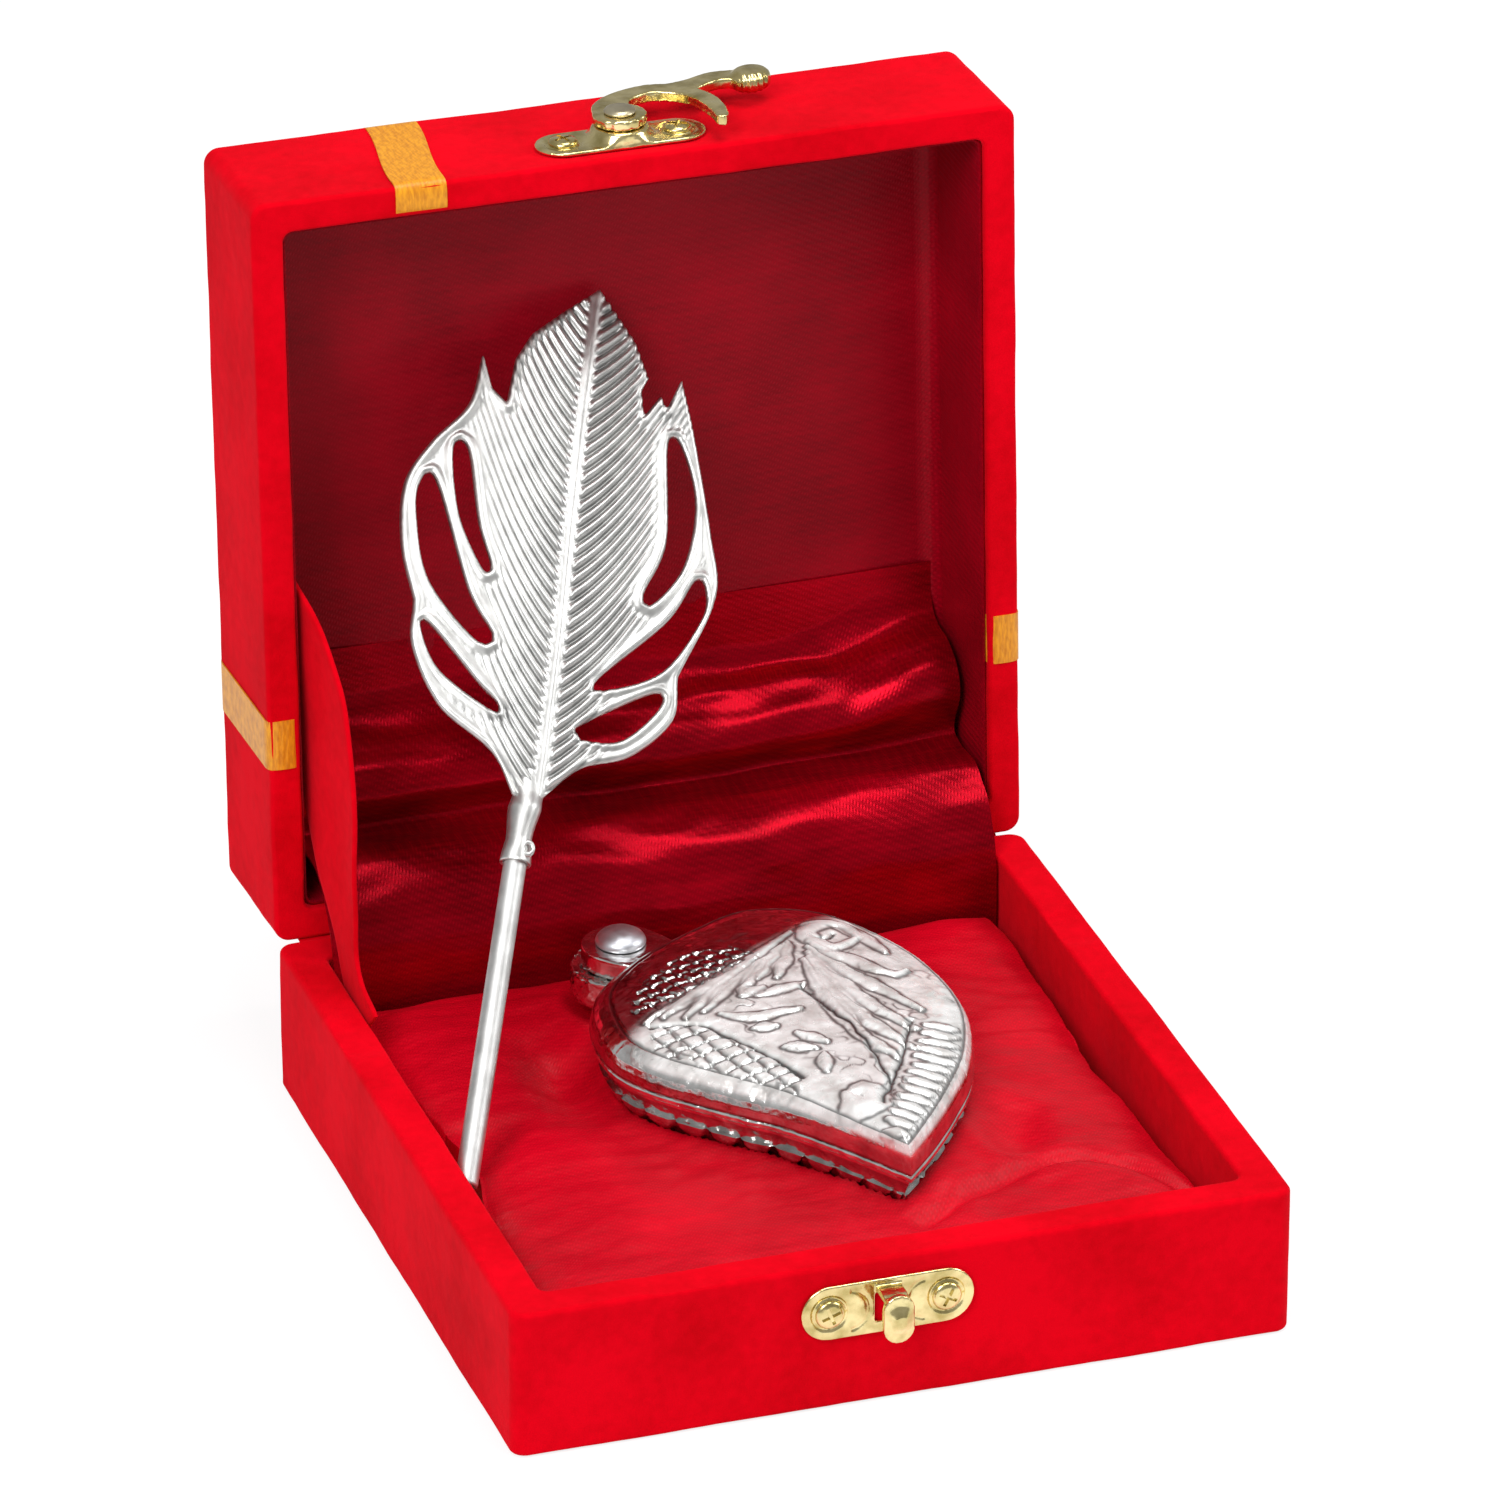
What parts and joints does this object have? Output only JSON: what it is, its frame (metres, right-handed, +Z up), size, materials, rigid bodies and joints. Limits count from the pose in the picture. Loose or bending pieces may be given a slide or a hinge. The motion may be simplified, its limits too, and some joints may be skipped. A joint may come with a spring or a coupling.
{
  "type": "kumkum box",
  "caption": "Leaf-shaped lidded kumkum container with a leaf-headed applicator stick, in a square velvet presentation case with a hinged lid and a swivel-hook latch.",
  "frame": {"origin": "centre of the case's flat underside", "axes": "+X to the right along the front face, +Y from the front to the open lid at the back, +Z up"},
  "size_m": [0.1278, 0.1702, 0.1571],
  "materials": {
    "velvet": "velvet",
    "satin": "satin",
    "board": "raw board",
    "gold_ribbon": "satin",
    "latch_brass": "polished",
    "silver": "polished silver plate",
    "rivet_steel": "brushed"
  },
  "bodies": {
    "case_base": {"base_floor": "board", "base_walls": "board", "base_cover": "velvet", "pad": "satin", "hinge_drape": "satin", "hinge_cloth": "velvet", "stay_strap": "velvet", "keeper_plate": "latch_brass", "keeper_screws": "latch_brass"},
    "lid": {"lid_walls": "board", "lid_panel": "board", "lid_cover": "velvet", "lid_lining": "satin", "ribbon_long": "gold_ribbon", "ribbon_cross": "gold_ribbon", "hook_plate": "latch_brass", "hook_screws": "latch_brass", "hook_rivet": "latch_brass"},
    "hook": {"hook_arm": "latch_brass"},
    "container": {"container_base": "silver", "container_rivet": "rivet_steel", "rivet_washer": "rivet_steel"},
    "container_cover": {"container_lid": "silver"},
    "applicator": {"applicator_head": "silver", "applicator_stem": "silver"}
  },
  "joints": [
    {"name": "lid_hinge", "type": "hinge", "parent": "case_base", "child": "lid", "pos_m": [0, 0.0635, 0.025], "axis": [1, 0, 0], "range_deg": [0, 93.4], "deforming": ["hinge_drape", "hinge_cloth", "stay_strap"]},
    {"name": "latch_hook", "type": "hinge", "parent": "lid", "child": "hook", "pos_m": [-0.0003, 0.07842, 0.15134], "axis": [0, 0.0593, 0.9982], "range_deg": [-90, 40]},
    {"name": "container_lift", "type": "slide", "parent": "case_base", "child": "container", "axis": [0.461, 0, 0.8874], "range_m": [0, 0.22]},
    {"name": "container_swivel", "type": "hinge", "parent": "container", "child": "container_cover", "pos_m": [-0.013, 0.0396, 0.0254], "axis": [0, 0, 1], "range_deg": [-30, 18]},
    {"name": "applicator_draw", "type": "slide", "parent": "case_base", "child": "applicator", "axis": [0.1677, -0.9513, 0.2588], "range_m": [0, 0.301]}
  ],
  "couplings": [
    {"joint": "applicator_draw", "follows": "lid_hinge", "m_per_rad": 0.184}
  ]
}
